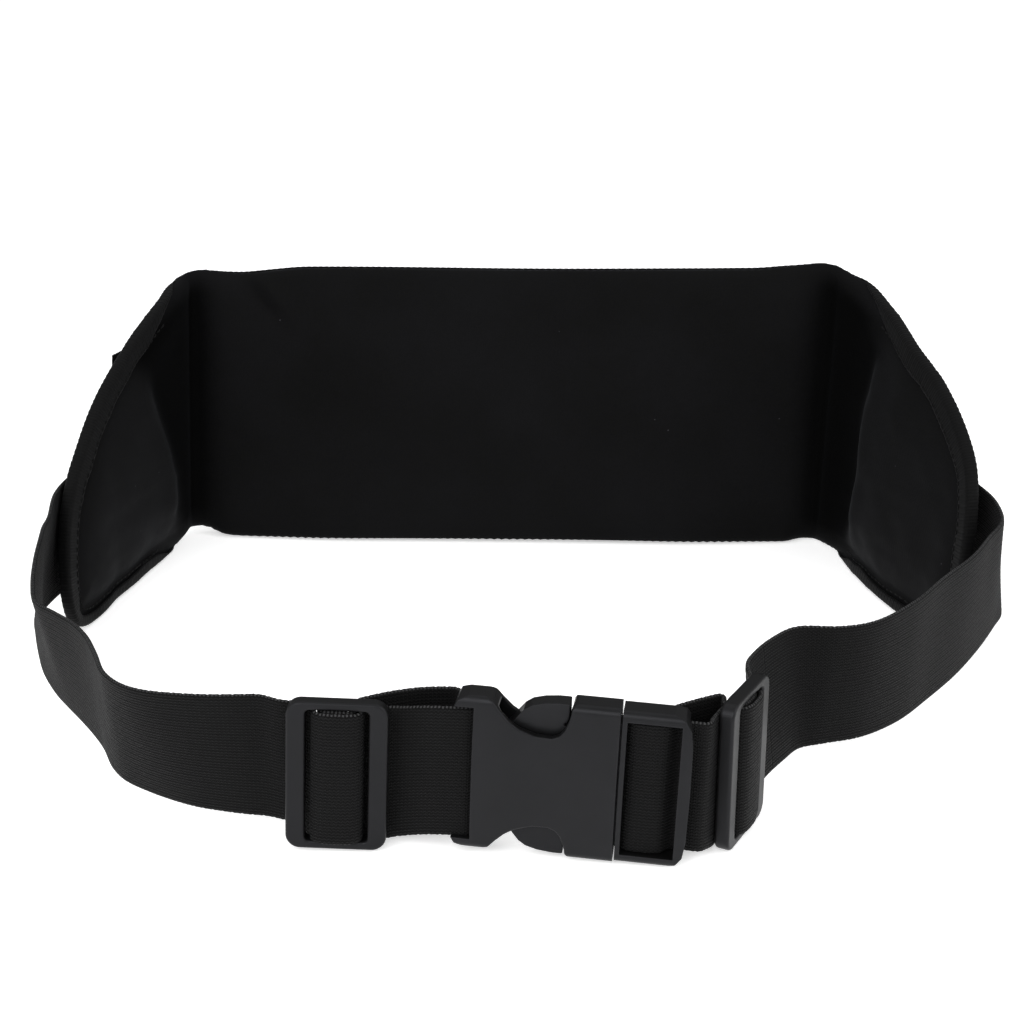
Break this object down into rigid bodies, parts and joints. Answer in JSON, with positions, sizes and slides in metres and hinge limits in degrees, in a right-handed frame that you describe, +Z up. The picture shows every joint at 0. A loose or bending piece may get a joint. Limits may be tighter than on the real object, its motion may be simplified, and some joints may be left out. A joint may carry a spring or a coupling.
{
  "type": "money belt",
  "caption": "Padded zip pouch worn flat round the waist on elastic straps, with strap adjusters and a side release buckle, fastened into a closed loop.",
  "frame": {"origin": "middle of the bounding box on the surface the belt's lower edge stands on", "axes": "+Z up, +X along the belt's longest side towards the plug's end of the buckle, +Y from the buckle to the pouch"},
  "size_m": [0.3288, 0.2636, 0.106],
  "materials": {
    "padded_cloth": "smooth knit face over thin foam",
    "lining_cloth": "plain woven lining",
    "shell_cloth": "plain woven shell",
    "band_cloth": "ribbed binding tape",
    "zip_tape": "twill tape",
    "zip_coil": "satin coil",
    "zip_metal": "black paint",
    "webbing": "ribbed elastic webbing",
    "thread": "sewing thread",
    "hard_plastic": "satin moulded"
  },
  "bodies": {
    "pouch": {"back_panel": "padded_cloth", "pocket_lining": "lining_cloth", "outer_panel_upper": "shell_cloth", "outer_panel_lower": "shell_cloth", "edge_band": "band_cloth", "zip_tape_upper": "zip_tape", "zip_tape_lower": "zip_tape", "zip_coil_upper": "zip_coil", "zip_coil_lower": "zip_coil", "zip_stop_left": "zip_metal", "zip_stop_right": "zip_metal", "zip_end_tab": "band_cloth", "web_left": "webbing", "web_right": "webbing", "stitching_left_wing": "thread", "stitching_right_wing": "thread", "buckle_socket": "hard_plastic"},
    "plug": {"buckle_plug": "hard_plastic"},
    "prong_top": {"prong_upper": "hard_plastic"},
    "prong_bottom": {"prong_lower": "hard_plastic"},
    "adjuster_l": {"adjuster_left": "hard_plastic", "bar_tack_left": "thread"},
    "adjuster_r": {"adjuster_right": "hard_plastic", "bar_tack_right": "thread"},
    "slider": {"zip_slider": "zip_metal"},
    "pull": {"zip_pull": "zip_metal"}
  },
  "joints": [
    {"name": "buckle_release", "type": "slide", "parent": "pouch", "child": "plug", "axis": [0.9895, -0.1391, -0.0384], "range_m": [0, 0.034], "deforming": ["web_right", "prong_upper", "prong_lower"]},
    {"name": "prong_upper_pinch", "type": "hinge", "parent": "plug", "child": "prong_top", "pos_m": [0.02237, -0.12293, 0.03703], "axis": [-0.1392, -0.9903, 0], "range_deg": [0, 14.5]},
    {"name": "prong_lower_pinch", "type": "hinge", "parent": "plug", "child": "prong_bottom", "pos_m": [0.02131, -0.12279, 0.00905], "axis": [-0.1392, -0.9903, 0], "range_deg": [-14.5, 0]},
    {"name": "right_adjust", "type": "slide", "parent": "plug", "child": "adjuster_r", "axis": [0.4695, 0.8829, 0], "range_m": [-0.004, 0.012], "deforming": ["web_right"]},
    {"name": "left_adjust", "type": "slide", "parent": "pouch", "child": "adjuster_l", "axis": [-0.999, 0, 0.0436], "range_m": [-0.008, 0.02], "deforming": ["web_left"]},
    {"name": "zip_slide", "type": "slide", "parent": "pouch", "child": "slider", "axis": [0.9995, -0.0306, 0], "range_m": [0, 0.195]},
    {"name": "pull_hinge", "type": "hinge", "parent": "slider", "child": "pull", "pos_m": [-0.10845, 0.13018, 0.082], "axis": [0, 0, 1], "range_deg": [0, 100]}
  ],
  "couplings": [
    {"joint": "prong_lower_pinch", "follows": "prong_upper_pinch", "ratio": -1}
  ]
}
